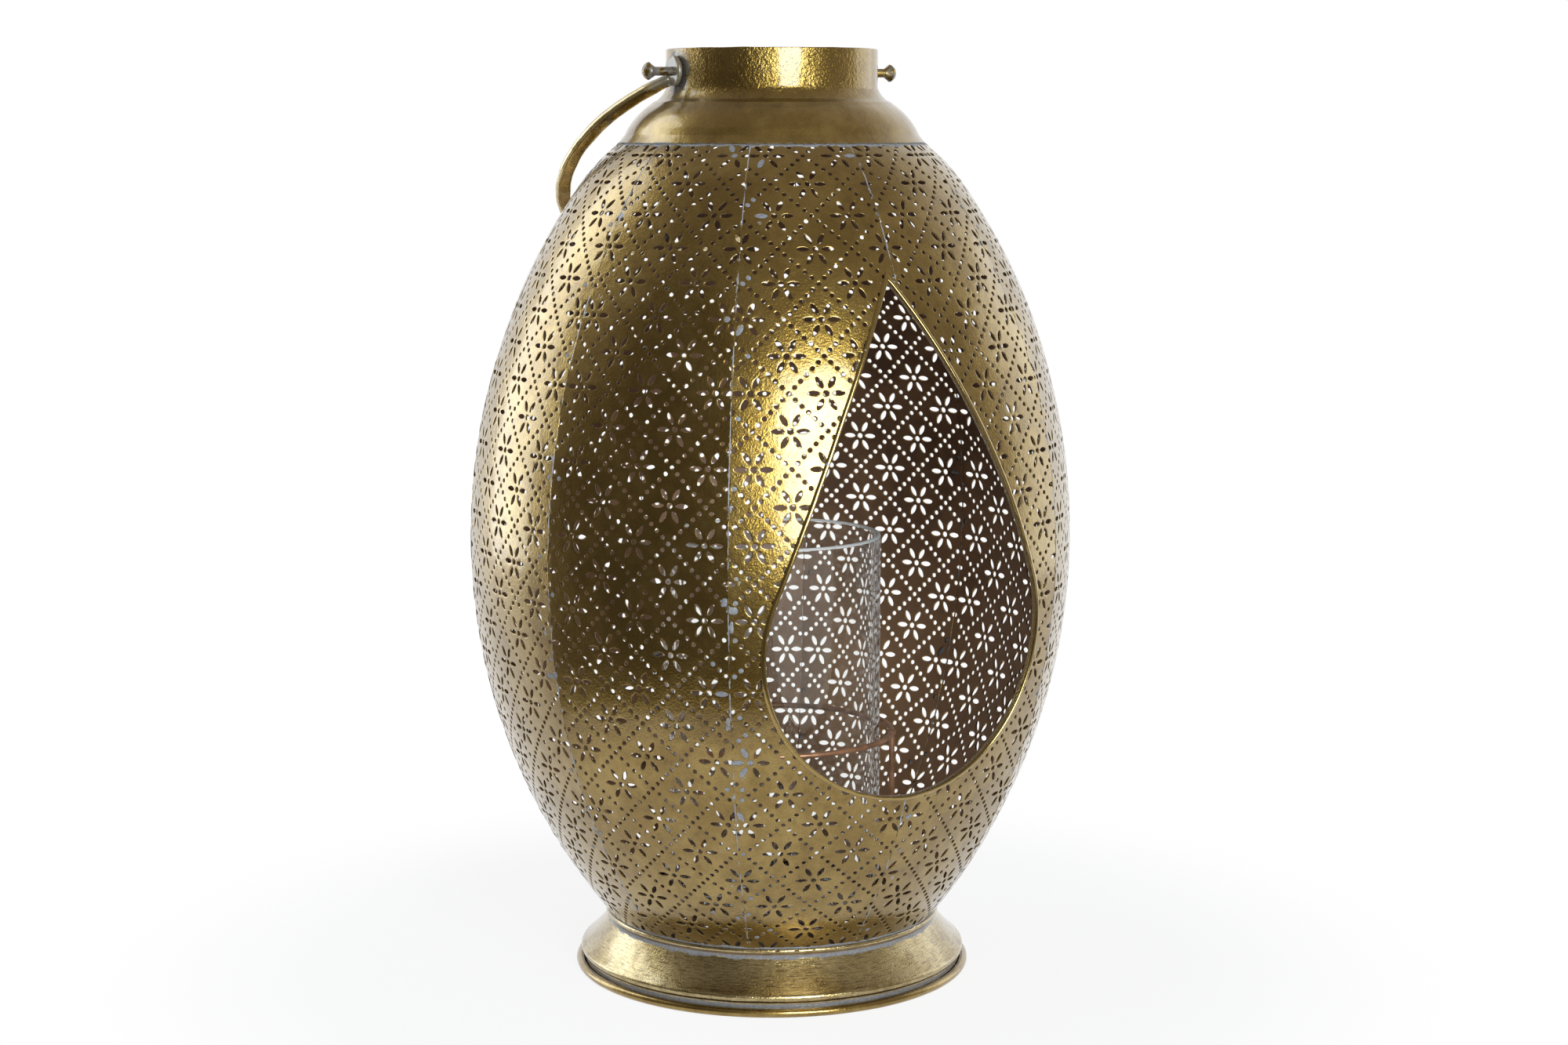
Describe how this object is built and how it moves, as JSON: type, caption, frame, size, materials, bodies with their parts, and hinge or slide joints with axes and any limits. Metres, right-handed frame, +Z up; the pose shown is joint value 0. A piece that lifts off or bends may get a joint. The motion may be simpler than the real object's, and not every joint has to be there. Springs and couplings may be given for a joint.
{
  "type": "candle lantern",
  "caption": "Egg-shaped pierced metal candle lantern with a teardrop window, a swinging bail on an open neck, a flared foot, and a glass cylinder in a wire holder.",
  "frame": {"origin": "on the ground at the middle of the foot, on the egg's own axis", "axes": "+Z up along the egg's axis; the window faces -Y; +X runs from the left pin to the right one, seen from the window"},
  "size_m": [0.3, 0.2903, 0.4596],
  "materials": {
    "gold_leaf": "antique gold leaf over sheet metal, finely crinkled, browned in the hollows",
    "pierced_gold": "pierced sheet metal in antique gold leaf outside and browned copper inside",
    "solder": "dull grey solder and primer",
    "dark_iron": "browned sheet metal",
    "copper_wire": "copper-brown lacquered wire",
    "aged_pin": "gilded iron with grey primer and specks of rust",
    "clear_glass": "clear blown glass with a fire-polished rim"
  },
  "bodies": {
    "root": {"neck_collar": "gold_leaf", "gore_01": "pierced_gold", "gore_02": "pierced_gold", "gore_03": "pierced_gold", "gore_04": "pierced_gold", "gore_05": "pierced_gold", "gore_06": "pierced_gold", "gore_07": "pierced_gold", "gore_08": "pierced_gold", "gore_09": "pierced_gold", "gore_10": "pierced_gold", "seam_welds": "solder", "window_rim": "gold_leaf", "base_top_bead": "gold_leaf", "base_flare": "gold_leaf", "base_ring": "gold_leaf", "floor_plate": "dark_iron", "holder_ring": "copper_wire", "holder_leg_1": "copper_wire", "holder_leg_2": "copper_wire", "holder_leg_3": "copper_wire", "left_handle_pin": "aged_pin", "right_handle_pin": "aged_pin", "left_pin_nut": "aged_pin", "right_pin_nut": "aged_pin"},
    "bail": {"bail_handle": "gold_leaf"},
    "glass": {"glass_cylinder": "clear_glass"}
  },
  "joints": [
    {"name": "bail_swing", "type": "hinge", "parent": "root", "child": "bail", "pos_m": [0, 0, 0.4486], "axis": [1, 0, 0], "range_deg": [0, 250]},
    {"name": "glass_lift", "type": "slide", "parent": "root", "child": "glass", "axis": [0, 0, 1], "range_m": [0, 0.095]}
  ]
}
